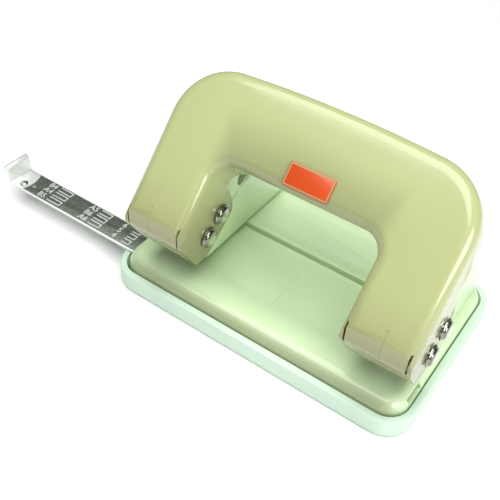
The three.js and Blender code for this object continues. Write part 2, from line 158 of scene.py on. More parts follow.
world = bpy.data.worlds.new("white_room")
world.use_nodes = True
room = world.node_tree.nodes["Background"]
room.inputs["Color"].default_value = (1, 1, 1, 1)
room.inputs["Strength"].default_value = ROOM_LIGHT
bpy.context.scene.world = world
bpy.context.scene.view_settings.view_transform = "Standard"

for name, lamp in LAMPS.items():
    soft_lamp(name, **lamp)

# %% [markdown]
# ## Finishes
# Enamel on steel isn't one flat colour. It has a slow drift of tone, a faint orange peel that
# breaks up the highlights, and a clear coat on top. All of that comes from noise on Object
# coordinates, which stay put when a piece moves with its body.

# %% A finish with drifting tone and a fine bump
COAT_ROUGHNESS = 0.06
DRIFT_PER_METRE = 22
GRAIN_PER_METRE = 900
POLISHING = {"depth": 0.000004, "strength": 0.6}
ORANGE_PEEL = {"per_metre": 700, "depth": 0.00002, "strength": 0.5}
# Painted shade inside the brackets' channels, under the handle.
CHANNEL_PAINTED_SHADE = (0.36, 0.34, 0.30)


def feed(material, value, socket):
    """Gives a socket another node's output, or a plain value."""
    if isinstance(value, bpy.types.NodeSocket):
        material.node_tree.links.new(value, socket)
    else:
        socket.default_value = value


def new_node(material, kind, inputs, **settings):
    """A node with its settings, and its inputs fed by name or by number."""
    node = material.node_tree.nodes.new(kind)
    for setting, value in settings.items():
        setattr(node, setting, value)
    for key, value in inputs.items():
        feed(material, value, node.inputs[key])
    return node


def new_finish(name, roughness, metallic=0.0, coat=0.0):
    """A material, its Principled shader and the Object coordinates that its patterns read."""
    material = bpy.data.materials.new(name)
    material.use_nodes = True
    shader = material.node_tree.nodes["Principled BSDF"]
    looks = {"Roughness": roughness, "Metallic": metallic, "Coat Weight": coat}
    for key, value in {**looks, "Coat Roughness": COAT_ROUGHNESS}.items():
        feed(material, value, shader.inputs[key])
    return material, shader, new_node(material, "ShaderNodeTexCoord", {}).outputs["Object"]


def stretched(material, place, scale):
    """The same coordinates, stretched: a small scale along an axis draws a pattern out along it."""
    return new_node(material, "ShaderNodeMapping", {"Scale": scale, "Vector": place}).outputs["Vector"]


def noise(material, place, per_metre, detail=2.0, roughness=0.5):
    """Soft noise with so many spots to a metre."""
    inputs = {"Scale": per_metre, "Detail": detail, "Roughness": roughness, "Vector": place}
    return new_node(material, "ShaderNodeTexNoise", inputs).outputs["Fac"]


def ramp(material, value, stops):
    """Turns a value into a colour: stops are (position, colour)."""
    node = new_node(material, "ShaderNodeValToRGB", {"Fac": value})
    elements = node.color_ramp.elements
    while len(elements) < len(stops):
        elements.new(0.5)
    for element, (position, colour) in zip(elements, stops):
        element.position = position
        element.color = (*colour, 1)
    return node.outputs["Color"]


def bump(material, shader, height, depth, strength=1.0):
    """Raises the surface by up to a depth in metres where the height value is 1."""
    inputs = {"Strength": strength, "Distance": depth, "Height": height}
    feed(material, new_node(material, "ShaderNodeBump", inputs).outputs["Normal"], shader.inputs["Normal"])


def stored(material, attribute):
    """The value of an attribute that a piece carries itself."""
    return new_node(material, "ShaderNodeAttribute", {}, attribute_name=attribute).outputs["Fac"]


def arithmetic(material, operation, first, second):
    """One step of arithmetic on sockets or plain values."""
    return new_node(material, "ShaderNodeMath", {0: first, 1: second}, operation=operation).outputs["Value"]


def share_along(material, place, direction, low, high):
    """How far a point lies between two places in mm along a direction, from 0 to 1."""
    along = new_node(material, "ShaderNodeVectorMath", {0: place, 1: direction}, operation="DOT_PRODUCT")
    inputs = {"From Min": low * MM, "From Max": high * MM, "Value": along.outputs["Value"]}
    return new_node(material, "ShaderNodeMapRange", inputs, interpolation_type="SMOOTHSTEP").outputs["Result"]


def largest(material, shares):
    """The largest of several shares."""
    found = shares[0]
    for other in shares[1:]:
        found = arithmetic(material, "MAXIMUM", found, other)
    return found


def darkened(material, colour, share, at_none, at_full=(1, 1, 1)):
    """Multiplies a colour by one tone where the share is 0 and by another where it is 1."""
    inputs = {"Factor": 1, "A": colour, "B": ramp(material, share, [(0, at_none), (1, at_full)])}
    mix = new_node(material, "ShaderNodeMix", inputs, data_type="RGBA", blend_type="MULTIPLY")
    return mix.outputs["Result"]


def enamel(name, pale, deep, roughness, coat, painted_shades=()):
    """
    Stoved paint on pressed steel. The last argument lists (ways, tone) for painted shade, which darkens
    the colour at set places: each way is (direction, low, high) in mm, and the tone is full where all
    ways are at their low end. A piece's own attribute marks faces darkened as painted shade inside a
    folded channel.
    """
    material, shader, place = new_finish(name, roughness, coat=coat)
    tone = noise(material, place, DRIFT_PER_METRE, detail=3)
    colour = ramp(material, tone, [(0.30, deep), (0.62, pale)])
    # Painted shade: each entry darkens the colour by its tone towards its places.
    for ways, shade_tone in painted_shades:
        share = largest(material, [share_along(material, place, *way) for way in ways])
        colour = darkened(material, colour, share, shade_tone)
    # Painted shade on the faces marked inside folded channels.
    colour = darkened(material, colour, stored(material, "painted_shade_inside"), (1, 1, 1), CHANNEL_PAINTED_SHADE)
    feed(material, colour, shader.inputs["Base Color"])
    peel = noise(material, place, ORANGE_PEEL["per_metre"], detail=1)
    bump(material, shader, peel, ORANGE_PEEL["depth"], ORANGE_PEEL["strength"])
    return material


def painted_reflection_chrome(name, rings, roughness):
    """Chrome with a painted reflection: its colour darkens in a ring towards a piece's rim, by the piece's
    own from_axis attribute.
    """
    material, shader, place = new_finish(name, roughness, metallic=1.0)
    colour = ramp(material, stored(material, "from_axis"), rings)
    feed(material, colour, shader.inputs["Base Color"])
    bump(material, shader, noise(material, place, GRAIN_PER_METRE), POLISHING["depth"], POLISHING["strength"])
    return material


def metal(name, pale, deep, roughness, grain, grain_depth=0.00001):
    """Bare or plated steel, with its grain drawn out along one axis."""
    material, shader, place = new_finish(name, roughness, metallic=1.0)
    drawn = stretched(material, place, grain)
    lines = noise(material, drawn, GRAIN_PER_METRE, detail=3, roughness=0.6)
    colour = ramp(material, lines, [(0.35, deep), (0.65, pale)])
    feed(material, colour, shader.inputs["Base Color"])
    bump(material, shader, lines, grain_depth, 0.5)
    return material


# Painted shade: the handle's paint darkens towards the feet of the legs, fully below 28 mm.
FEET_PAINTED_SHADE = ([((0, 0, 1), 28, 52)], (0.58, 0.53, 0.50))
# Painted shade on the bar's face just above the arch's opening, between the legs, where the face turns under.
BAR_OPENING_PAINTED_SHADE = ([((0, 0.682, 0.731), 33, 49), ((1, 0, 0), 24, 32), ((-1, 0, 0), 24, 32)], (0.74, 0.74, 0.76))
# Painted shade along the base's rounded front edge.
FRONT_EDGE_PAINTED_SHADE = ([((0, 1, 0), -34.5, -28.5)], (0.50, 0.46, 0.42))
PRINT = {
    "low": 8.5, "high": 9.21, "half_y": 4.95, "y": -22.1, "curl": (-123.5, -22.6), "curl_r": 11.0,
    "worn": 2.6, "worn_per_metre": 1500,
}
STRIP_FINISH = {"pale": (0.86, 0.89, 0.85), "deep": (0.76, 0.79, 0.75), "roughness": 0.36, "metallic": 0.45}


def printed_strip(name, ink):
    """Rolled steel whose top is printed dark between two bare edges, up to a curved line near its end."""
    f = STRIP_FINISH
    material = metal(name, f["pale"], f["deep"], f["roughness"], (0.05, 1, 1))
    nodes = material.node_tree.nodes
    shader = nodes["Principled BSDF"]
    feed(material, f["metallic"], shader.inputs["Metallic"])
    steel = shader.inputs["Base Color"].links[0].from_socket
    place = next(node for node in nodes if node.type == "TEX_COORD").outputs["Object"]
    split = new_node(material, "ShaderNodeSeparateXYZ", {"Vector": place}).outputs
    curl = Vector((*PRINT["curl"], PRINT["low"])) * MM
    reach = new_node(material, "ShaderNodeVectorMath", {0: place, 1: curl}, operation="DISTANCE")
    across = arithmetic(material, "SUBTRACT", split["Y"], PRINT["y"] * MM)
    off_middle = arithmetic(material, "ABSOLUTE", across, 0)
    inside = arithmetic(material, "LESS_THAN", off_middle, PRINT["half_y"] * MM)
    above = arithmetic(material, "GREATER_THAN", split["Z"], PRINT["low"] * MM)
    below = arithmetic(material, "LESS_THAN", split["Z"], PRINT["high"] * MM)
    past_curl = arithmetic(material, "GREATER_THAN", reach.outputs["Value"], PRINT["curl_r"] * MM)
    on_top = arithmetic(material, "MULTIPLY", above, below)
    mask = arithmetic(material, "MULTIPLY", arithmetic(material, "MULTIPLY", inside, on_top), past_curl)
    rubbed = tuple(PRINT["worn"] * c for c in ink)
    spots = noise(material, place, PRINT["worn_per_metre"], detail=3)
    worn = ramp(material, spots, [(0.35, ink), (0.75, rubbed)])
    mix = new_node(material, "ShaderNodeMix", {"Factor": mask, "A": steel, "B": worn}, data_type="RGBA")
    feed(material, mix.outputs["Result"], shader.inputs["Base Color"])
    return material


# Painted reflection on the domed heads: bright in the middle, dark in a ring near the rim, a little lighter
# at the edge.
CHROME_PAINTED_RINGS = [
    (0.0, (0.80, 0.80, 0.76)), (0.45, (0.70, 0.70, 0.66)),
    (0.75, (0.20, 0.20, 0.17)), (1.0, (0.42, 0.42, 0.38)),
]
CREAM = ((0.48, 0.52, 0.245), (0.45, 0.49, 0.225))
GREEN = ((0.68, 0.86, 0.53), (0.63, 0.82, 0.48))
PALE_GREEN = ((0.66, 0.84, 0.68), (0.62, 0.80, 0.64))
ORANGE = ((0.70, 0.088, 0.011), (0.63, 0.072, 0.009))
INK = (0.085, 0.10, 0.08)
FINISHES = {
    "handle_paint": enamel("cream_enamel", *CREAM, 0.24, 0.6, [FEET_PAINTED_SHADE, BAR_OPENING_PAINTED_SHADE]),
    "base_paint": enamel("green_enamel", *GREEN, 0.30, 0.4, [FRONT_EDGE_PAINTED_SHADE]),
    "tray_plastic": enamel("pale_plastic", *PALE_GREEN, 0.42, 0.0),
    "label_paint": enamel("orange_enamel", *ORANGE, 0.35, 0.2),
    "strip_steel": printed_strip("printed_steel", INK),
    "bright_chrome": painted_reflection_chrome("chrome", CHROME_PAINTED_RINGS, 0.12),
    "tool_steel": metal("ground_steel", (0.55, 0.55, 0.54), (0.4, 0.4, 0.39), 0.3, (1, 1, 0.05)),
    "spring_steel": metal("spring_steel", (0.45, 0.46, 0.48), (0.3, 0.31, 0.33), 0.3, (1, 1, 1)),
    "zinc_steel": metal("zinc_plate", (0.70, 0.71, 0.69), (0.55, 0.56, 0.55), 0.35, (1, 1, 1)),
}
print("finishes", len(FINISHES))

# %% [markdown]
# ## Working with sheet
# Nearly every piece is sheet steel, cut to an outline with rounded corners, folded or drawn, and
# left with a thin soft edge. These helpers do that with Blender's own operators: a face with
# bevelled corners, a boolean where one form bites into another, and one place where a build
# becomes a finished piece that rides on its body.

# %% Helpers for sheet pieces
def corner_reach(before, corner, after, radius):
    """How far along its edges a round corner of that radius starts."""
    first = (before - corner).normalized()
    second = (after - corner).normalized()
    return radius / math.tan(first.angle(second) / 2)


def rounded_face(build, corners, place, segments=12):
    """
    Adds one flat face. Corners are (across, up, radius) in mm, and place turns (across, up) into
    a point.
    """
    points = [place(across, up) for across, up, _ in corners]
    verts = [build.verts.new(point) for point in points]
    build.faces.new(verts)
    for index, (_, _, radius) in enumerate(corners):
        if radius:
            after = points[(index + 1) % len(points)]
            reach = corner_reach(points[index - 1], points[index], after, radius * MM)
            bmesh.ops.bevel(
                build, geom=[verts[index]], offset=reach, offset_type="OFFSET", affect="VERTICES",
                segments=segments, profile=0.5, material=-1,
            )


def rectangle(left, right, low, high, radius):
    """A rectangle's four corners, all with the same radius."""
    return [(left, low, radius), (right, low, radius), (right, high, radius), (left, high, radius)]


def round_edges(build, edges, radius, segments=6):
    """Rounds the given edges over."""
    bmesh.ops.bevel(
        build, geom=edges, offset=radius, offset_type="OFFSET", affect="EDGES",
        segments=segments, profile=0.5, material=-1, clamp_overlap=True,
    )


def pull_walls(build, edges, step):
    """Draws walls from the given edges, and gives their free edges back."""
    drawn = bmesh.ops.extrude_edge_only(build, edges=edges)["geom"]
    bmesh.ops.translate(build, verts=[v for v in drawn if isinstance(v, bmesh.types.BMVert)], vec=step)
    return [e for e in drawn if isinstance(e, bmesh.types.BMEdge)]


def raise_solid(corners, place, step, segments=12):
    """A closed block: a rounded face, walls along a step and a second face."""
    build = bmesh.new()
    rounded_face(build, corners, place, segments)
    far = pull_walls(build, build.edges[:], step)
    bmesh.ops.holes_fill(build, edges=far)
    bmesh.ops.recalc_face_normals(build, faces=build.faces[:])
    return build


def bent_path(corners, steps=8):
    """A line through (first, second, radius) corners in mm, with each inner corner rounded."""
    path = [Vector(corners[0][:2])]
    for before, (first, second, radius), after in zip(corners, corners[1:], corners[2:]):
        corner = Vector((first, second))
        back = (Vector(before[:2]) - corner).normalized()
        onward = (Vector(after[:2]) - corner).normalized()
        half_angle = back.angle(onward) / 2
        reach = radius / math.tan(half_angle)
        centre = corner + (back + onward).normalized() * radius / math.sin(half_angle)
        start, end = corner + back * reach, corner + onward * reach
        for step in range(steps + 1):
            spoke = start.lerp(end, step / steps) - centre
            path.append(centre + spoke.normalized() * radius)
    path.append(Vector(corners[-1][:2]))
    return path


def facing(build, direction):
    """Turns the faces so that on balance they look along a direction."""
    bmesh.ops.recalc_face_normals(build, faces=build.faces[:])
    if sum(f.normal.dot(direction) * f.calc_area() for f in build.faces) < 0:
        bmesh.ops.reverse_faces(build, faces=build.faces[:])


def folded_sheet(path, place, step, thickness, outward):
    """A strip of sheet bent along a path. place turns a path point into a point in metres."""
    build = bmesh.new()
    verts = [build.verts.new(place(point)) for point in path]
    edges = [build.edges.new(pair) for pair in zip(verts, verts[1:])]
    pull_walls(build, edges, step)
    facing(build, outward)
    bmesh.ops.solidify(build, geom=build.faces[:], thickness=thickness)
    return build


def swept_wire(path, radius, sides=8):
    """A round bar that follows points in metres, closed at both ends."""
    build = bmesh.new()
    rings = []
    for index, point in enumerate(path):
        along = (path[min(index + 1, len(path) - 1)] - path[max(index - 1, 0)]).normalized()
        turn = along.to_track_quat("Z", "X").to_matrix().to_4x4()
        ring = bmesh.ops.create_circle(
            build, cap_ends=False, segments=sides, radius=radius, matrix=Matrix.Translation(point) @ turn,
        )["verts"]
        rings.append([build.edges.get((ring[k], ring[(k + 1) % sides])) for k in range(sides)])
    for first, second in zip(rings, rings[1:]):
        bmesh.ops.bridge_loops(build, edges=first + second)
    bmesh.ops.holes_fill(build, edges=rings[0] + rings[-1])
    bmesh.ops.recalc_face_normals(build, faces=build.faces[:])
    return build


def box(low, high):
    """A plain cutter between two corners in mm."""
    build = bmesh.new()
    low, high = Vector(low) * MM, Vector(high) * MM
    size = Matrix.Diagonal((*(high - low), 1))
    bmesh.ops.create_cube(build, size=1, matrix=Matrix.Translation((low + high) / 2) @ size)
    return build


def carried_to(x, y, z=0):
    """The matrix that carries a build to a place in mm."""
    return Matrix.Translation(Vector((x, y, z)) * MM)


def round_bar(place, radius, length, segments):
    """A round bar in mm that lies along Z of the matrix place."""
    build = bmesh.new()
    bmesh.ops.create_cone(
        build, cap_ends=True, segments=segments, radius1=radius * MM, radius2=radius * MM,
        depth=length * MM, matrix=place,
    )
    return build


def post(x, y, radius, low, high, segments=48):
    """A round bar that stands along Z, in mm."""
    return round_bar(carried_to(x, y, (low + high) / 2), radius, high - low, segments)


def bar(x, y, z, radius, length, segments=48):
    """A round bar that lies along X, in mm."""
    return round_bar(carried_to(x, y, z) @ Matrix.Rotation(math.pi / 2, 4, "Y"), radius, length, segments)


def turned(profile, steps=40):
    """A turned piece: (radius, height) points, from axis to axis or closed, spun round Z."""
    build = bmesh.new()
    verts = [build.verts.new((radius * MM, 0, height * MM)) for radius, height in profile]
    edges = [build.edges.new(pair) for pair in zip(verts, verts[1:])]
    bmesh.ops.spin(
        build, geom=verts + edges, cent=(0, 0, 0), axis=(0, 0, 1), angle=2 * math.pi,
        steps=steps, use_merge=True,
    )
    bmesh.ops.remove_doubles(build, verts=build.verts[:], dist=0.000001)
    bmesh.ops.recalc_face_normals(build, faces=build.faces[:])
    return build


def with_reach(build, widest):
    """Stores how far each corner of a turned piece lies from its axis, as a share of its widest."""
    layer = build.verts.layers.float.new("from_axis")
    for vert in build.verts:
        vert[layer] = math.hypot(vert.co.x, vert.co.y) / (widest * MM)
    return build


def with_painted_shade(build, shaded):
    """Marks the faces for which the given test holds, so that their paint is darkened as painted shade."""
    layer = build.faces.layers.float.new("painted_shade_inside")
    for face in build.faces:
        face[layer] = 1.0 if shaded(face) else 0.0
    return build


def moved(build, matrix):
    """The same build, carried by a matrix."""
    bmesh.ops.transform(build, matrix=matrix, verts=build.verts[:])
    return build


def scratch_object(build):
    """A short-lived object for a modifier to work on. The build is used up."""
    mesh = bpy.data.meshes.new("scratch")
    build.to_mesh(mesh)
    build.free()
    made = bpy.data.objects.new("scratch", mesh)
    bpy.context.scene.collection.objects.link(made)
    return made


def through_modifiers(made):
    """A new build of the object's mesh as its modifiers leave it. The object is removed."""
    graph = bpy.context.evaluated_depsgraph_get()
    build = bmesh.new()
    build.from_mesh(made.evaluated_get(graph).to_mesh())
    made.evaluated_get(graph).to_mesh_clear()
    bpy.data.objects.remove(made)
    return build


def combined(first, second, operation):
    """Two closed builds as one: UNION, DIFFERENCE or INTERSECT."""
    body, tool = scratch_object(first), scratch_object(second)
    bite = body.modifiers.new("bite", "BOOLEAN")
    bite.operation, bite.solver, bite.object = operation, "EXACT", tool
    build = through_modifiers(body)
    bpy.data.objects.remove(tool)
    return build


def without(build, *cutters):
    """A build with the cutters taken out of it, one after the other."""
    for cutter in cutters:
        build = combined(build, cutter, "DIFFERENCE")
    return build


def softened(build, width, segments=2, sharper_than=30):
    """The same build with every edge sharper than an angle rounded over a little."""
    made = scratch_object(build)
    bevel = made.modifiers.new("soft_edges", "BEVEL")
    bevel.width, bevel.segments = width, segments
    bevel.limit_method, bevel.angle_limit = "ANGLE", math.radians(sharper_than)
    return through_modifiers(made)


def finish_piece(name, build, slot, node, stands_for=True, smooth_below=35):
    """Makes the build a piece that rides on its node's body, with the slot's finish."""
    mesh = bpy.data.meshes.new(name)
    build.to_mesh(mesh)
    build.free()
    mesh.polygons.foreach_set("use_smooth", [True] * len(mesh.polygons))
    mesh.set_sharp_from_angle(angle=math.radians(smooth_below))
    piece = bpy.data.objects.new(name, mesh)
    bpy.context.scene.collection.objects.link(piece)
    mesh.materials.append(FINISHES[slot])
    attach(piece, frame["nodes"][node]["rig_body"])
    if stands_for:
        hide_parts(node)
    print(name, "faces", len(mesh.polygons))
    return piece


SIDES = {"left": -40, "right": 40}

# %% [markdown]
# ## Handle
# The handle is one pressing: an arch cut from sheet, its face tilted back and its rim drawn
# round into deep flanges that hold the pins. It starts as the arch's outline, its rim is pulled
# back as walls and the corner between is rounded, then the sheet gets its thickness. The front
# of each leg is folded down from the face and back to the flanges. Then the whole is cut to its
# side view, and the slits beside the legs' fronts, the creases and the pin holes come last.

# %% The arch and its flanges
HANDLE_TILT = math.radians(47)
HANDLE_FOLD = Vector((0, -35.6, 40.5)) * MM
SHEET = 1.2
LEG_HALF = 11.4
ARCH = {
    "top": 52.4, "arch": 25.2, "below": -16, "outer_r": 19, "inner_r": 6.5, "crown": 1.2, "crown_cuts": 15,
}
ARCH_EDGE = 4 * MM
FLANGE_DEPTH = 46 * MM
face_up = Vector((0, math.cos(HANDLE_TILT), math.sin(HANDLE_TILT)))
face_out = Vector((0, -math.sin(HANDLE_TILT), math.cos(HANDLE_TILT)))


def on_face(across, up, out=0.0):
    """A point on the handle's face: millimetres across, up from the fold and out."""
    return HANDLE_FOLD + Vector((across * MM, 0, 0)) + face_up * (up * MM) + face_out * (out * MM)


def arch_sheet():
    """The face with its crowned upper edge, and the flanges all round it."""
    a = ARCH
    outer, inner = SIDES["right"] + LEG_HALF, SIDES["right"] - LEG_HALF
    corners = [
        (-outer, a["below"], 0), (-inner, a["below"], 0), (-inner, a["arch"], a["inner_r"]),
        (inner, a["arch"], a["inner_r"]), (inner, a["below"], 0), (outer, a["below"], 0),
        (outer, a["top"], a["outer_r"]), (-outer, a["top"], a["outer_r"]),
    ]
    build = bmesh.new()
    rounded_face(build, corners, on_face, segments=20)
    top_edge = max(build.edges, key=lambda e: sum(v.co.z for v in e.verts))
    half_bar = top_edge.calc_length() / 2
    cut = bmesh.ops.subdivide_edges(build, edges=[top_edge], cuts=a["crown_cuts"])["geom_inner"]
    for vert in [v for v in cut if isinstance(v, bmesh.types.BMVert)]:
        vert.co += face_up * a["crown"] * MM * (1 - (vert.co.x / half_bar) ** 2)
    rim = build.edges[:]
    pull_walls(build, rim, -face_out * FLANGE_DEPTH)
    round_edges(build, rim, ARCH_EDGE, segments=8)
    facing(build, face_out)
    bmesh.ops.solidify(build, geom=build.faces[:], thickness=SHEET * MM)
    return build


arch = arch_sheet()
print("arch faces", len(arch.faces), "volume in cubic mm", round(arch.calc_volume() / MM ** 3))

# %% The front of a leg
FRONT = {"y": -36.1, "bend": 33.3, "low": (-29.2, 22.4), "fold_r": 4.2, "bend_r": 5.0, "spare": 0.5}
FRONT_TOP = {"rows": 12, "row": 0.4, "lap": 1, "shy": 0.05}
FRONT_HALF = LEG_HALF - SHEET / 2
FOLD_Z = (HANDLE_FOLD.z / MM) - (HANDLE_FOLD.y / MM - FRONT["y"]) * math.tan(HANDLE_TILT)


def side_solid(corners, low_x, high_x, segments=8):
    """A drawing in Y and Z, drawn out along X."""
    long = Vector((high_x - low_x, 0, 0)) * MM
    return raise_solid(corners, lambda y, z: Vector((low_x, y, z)) * MM, long, segments)


def front_half(z):
    """Half the front's width: near the fold it stays inside the face's rounded edge."""
    radius = ARCH_EDGE / MM
    depth = (HANDLE_FOLD - Vector((0, FRONT["y"], z)) * MM).dot(face_out) / MM
    rounding = math.sqrt(max(radius ** 2 - (radius - min(max(depth, 0), radius)) ** 2, 0))
    return min(LEG_HALF - radius + rounding, FRONT_HALF) - FRONT_TOP["shy"]


def leg_front(x):
    """
    The upright wall below the face, and the slope that runs back to the flanges. Both are a little
    too thick outside, and are cut to line later.
    """
    outer_y, inner_y = FRONT["y"] - FRONT["spare"], FRONT["y"] + SHEET
    rows = [FOLD_Z - FRONT_TOP["row"] * step for step in range(FRONT_TOP["rows"], 0, -1)]
    heights = [FRONT["bend"] - FRONT_TOP["lap"], *rows]
    right = [(front_half(z), z, 0) for z in heights]
    left = [(-half, z, 0) for half, z, _ in reversed(right)]
    back = Vector((0, inner_y - outer_y, 0)) * MM
    wall = raise_solid(right + left, lambda u, z: Vector((x + u, outer_y, z)) * MM, back)
    foot, bend = Vector(FRONT["low"]), Vector((FRONT["y"], FRONT["bend"]))
    inward = Vector((bend.y - foot.y, foot.x - bend.x)).normalized()
    out, through = inward * FRONT["spare"], inward * SHEET
    corners = [bend - out, foot - out, foot + through, bend + through]
    slope = side_solid([(c.x, c.y, 0) for c in corners], x - FRONT_HALF, x + FRONT_HALF)
    return combined(wall, slope, "UNION")


for x in SIDES.values():
    arch = combined(arch, leg_front(x), "UNION")

# %% The side view that the press left
CUT = {"half_x": 60, "front": -60, "top": 90}
FLANGE_SIDE = [
    (-28.2, 20.5, 2.5), (-21.9, 20.5, 3), (-7.4, 32.2, 5), (-12.2, 45.5, 3), (-4.9, 49.4, 4),
    (-2.2, 64.0, 20), (2.4, 76.6, 0), (4, CUT["top"], 0), (CUT["front"], CUT["top"], 0),
]
LINE_STARTS_UP = 3.0
face_point = on_face(0, LINE_STARTS_UP) / MM
front_line = bent_path([
    (face_point.y, face_point.z, 0), (FRONT["y"], FOLD_Z, FRONT["fold_r"]),
    (FRONT["y"], FRONT["bend"], FRONT["bend_r"]), (*FRONT["low"], 0),
])[1:]
side_view = [(CUT["front"], front_line[0].y, 0), *[(c.x, c.y, 0) for c in front_line], *FLANGE_SIDE]
arch = combined(arch, side_solid(side_view, -CUT["half_x"], CUT["half_x"]), "INTERSECT")
print("arch faces after the cut", len(arch.faces))

# %% Slits, seams, creases and pin holes
SLIT = {"outer": LEG_HALF - SHEET, "wide": 0.6, "low": 33.0, "top": 40.2, "front": -39, "back": -33}
SEAM = {"wide": 0.16, "deep": 0.7}
CREASE = {
    "across": 1.5, "radius": 0.26, "out": 0.12, "top": 3.4, "hook": 0.7, "hook_drop": 0.2, "ends_early": 5,
}
PIVOT = (-21.9, 28.9)
DRIVE = (-15.1, 34.2)
PIN_HOLE = 1.6
CUT_EDGE = 0.15
THROUGH_LEG = 2 * LEG_HALF + 4


def seam_cutter(x):
    """A thin blade along the slope below a slit."""
    foot = Vector(FRONT["low"])
    start = Vector((FRONT["y"], FRONT["bend"]))
    along = (foot - start).normalized()
    inward = Vector((-along.y, along.x)) * SEAM["deep"]
    corners = [start - inward, foot - inward + along, foot + inward + along, start + inward]
    return side_solid([(c.x, c.y, 0) for c in corners], x - SEAM["wide"] / 2, x + SEAM["wide"] / 2)


def crease_cutter(x):
    """The scored line down the middle of a leg, with the small hook at its top."""
    c = CREASE
    hook = on_face(x - c["hook"], c["top"] - c["hook_drop"], c["out"])
    path = [hook, on_face(x, c["top"], c["out"])]
    path += [Vector((x, point.x - c["out"], point.y)) * MM for point in front_line[:-c["ends_early"]]]
    return swept_wire(path, c["radius"] * MM)


for side, x in SIDES.items():
    for edge in (x - SLIT["outer"], x + SLIT["outer"] - SLIT["wide"]):
        low, high = (edge, SLIT["front"], SLIT["low"]), (edge + SLIT["wide"], SLIT["back"], SLIT["top"])
        arch = without(arch, box(low, high), seam_cutter(edge + SLIT["wide"] / 2))
    across = CREASE["across"] if side == "right" else -CREASE["across"]
    arch = without(arch, crease_cutter(x + across))
arch = softened(arch, CUT_EDGE * MM)
for x in SIDES.values():
    arch = without(arch, *[bar(x, *pin, PIN_HOLE, THROUGH_LEG) for pin in (PIVOT, DRIVE)])
print("volume in cubic mm", round(arch.calc_volume() / MM ** 3))
finish_piece("pressed_handle", arch, "handle_paint", "handle")

# %% [markdown]
# ## Label plate
# The plate on the bar is thin enamelled sheet with a narrow pale border. It carries no words.

# %% Label plate and its border
LABEL = {"left": -5.6, "right": 9.8, "low": 26.8, "high": 34.2, "corner": 0.6, "lift": 0.12, "thick": 0.4}
BORDER = {"inset": 0.3, "wide": 0.35, "rise": 0.04, "least_r": 0.15, "sunk": 0.1}


def label_corners(inset):
    """The plate's outline, or a smaller one set in from it."""
    left, right = LABEL["left"] + inset, LABEL["right"] - inset
    low, high = LABEL["low"] + inset, LABEL["high"] - inset
    return rectangle(left, right, low, high, max(LABEL["corner"] - inset, BORDER["least_r"]))


def on_label(out):
    """Places a drawing parallel to the handle's face, so far out from it."""
    return lambda across, up: on_face(across, up, out)


def border_ring():
    """The line of the border: a thin plate with a bore."""
    b = BORDER
    top = LABEL["lift"] + LABEL["thick"]
    raised = face_out * (b["sunk"] + b["rise"]) * MM
    rim = raise_solid(label_corners(b["inset"]), on_label(top - b["sunk"]), raised)
    bore = raise_solid(label_corners(b["inset"] + b["wide"]), on_label(top - 1), face_out * 2 * MM)
    return without(rim, bore)


plate = raise_solid(label_corners(0), on_label(LABEL["lift"]), face_out * LABEL["thick"] * MM)
finish_piece("label", softened(plate, 0.1 * MM), "label_paint", "label_plate")
finish_piece("label_border", border_ring(), "handle_paint", "label_plate", stands_for=False)

# %% [markdown]
# ## Base plate
# The base is one drawn pressing: a paper table in front, a raised plateau behind, and a skirt
# that stands in the tray. Two closed forms, one inside the other, make its thin shell. The dies,
# the rivets and the gauge take their openings out of it, and two small tabs stop the paper.

# %% Base plate
BASE = {"left": -58.2, "right": 51.5, "half_y": 33.8, "corner": 8.5, "skirt": 2.6, "table": 12.2, "edge": 5}
PLATEAU = {"top": 14.4, "front": 5.8, "inset": 4.3, "corner": 5, "edge": 0.55, "sunk": 3}
BELOW_SKIRT = 1
PUNCH_Y = -14.2
DIE_HOLE = 5.3
RIVETS_Y = {"front": 10, "rear": 24}
RIVET_HOLE = 1.7
THROUGH_TABLE = (8, 14)
THROUGH_PLATEAU = (10, 16)
STOP = {"half_x": 6, "y": -2.2, "thick": 1.2, "low": 11.8, "top": 14.3}
STRIP_Y = -22.1
NOTCHES = [
    {"low_x": -64, "high_x": -52, "half_y": 5.9, "low": 8.02, "high": 9.9},
    {"low_x": 45.5, "high_x": 56, "half_y": 4.2, "low": 8.02, "high": 10.4},
]
CENTRE_MARK = {"front": (-3.0, -21.4, 12.25), "back": (-2.3, -2.2, 12.25), "radius": 0.16}


def drawn_block(left, right, front, back, corner, low, top, edge, segments=8):
    """A block with rounded corners and a rounded top edge, in mm."""
    build = bmesh.new()
    corners = rectangle(left, right, front, back, corner)
    rounded_face(build, corners, lambda x, y: Vector((x, y, top)) * MM, segments=10)
    rim = build.edges[:]
    free = pull_walls(build, rim, Vector((0, 0, low - top)) * MM)
    bmesh.ops.holes_fill(build, edges=free)
    round_edges(build, rim, edge * MM, segments)
    bmesh.ops.recalc_face_normals(build, faces=build.faces[:])
    return build


def base_form(inset):
    """The pressing's outside, or its inside when it is set in by the sheet."""
    b, p = BASE, PLATEAU
    low = b["skirt"] - (BELOW_SKIRT if inset else 0)
    table = drawn_block(
        b["left"] + inset, b["right"] - inset, -b["half_y"] + inset, b["half_y"] - inset,
        b["corner"] - inset, low, b["table"] - inset, b["edge"] - inset / 2,
    )
    reach = p["inset"] + inset
    plateau = drawn_block(
        b["left"] + reach, b["right"] - reach, p["front"] + inset, b["half_y"] - reach,
        p["corner"] - inset, b["table"] - p["sunk"], p["top"] - inset, p["edge"], segments=4,
    )
    return combined(table, plateau, "UNION")


def paper_stop(x):
    """A small raised tab that stops the paper behind a punch."""
    low = (x - STOP["half_x"], STOP["y"], STOP["low"])
    return box(low, (x + STOP["half_x"], STOP["y"] + STOP["thick"], STOP["top"]))


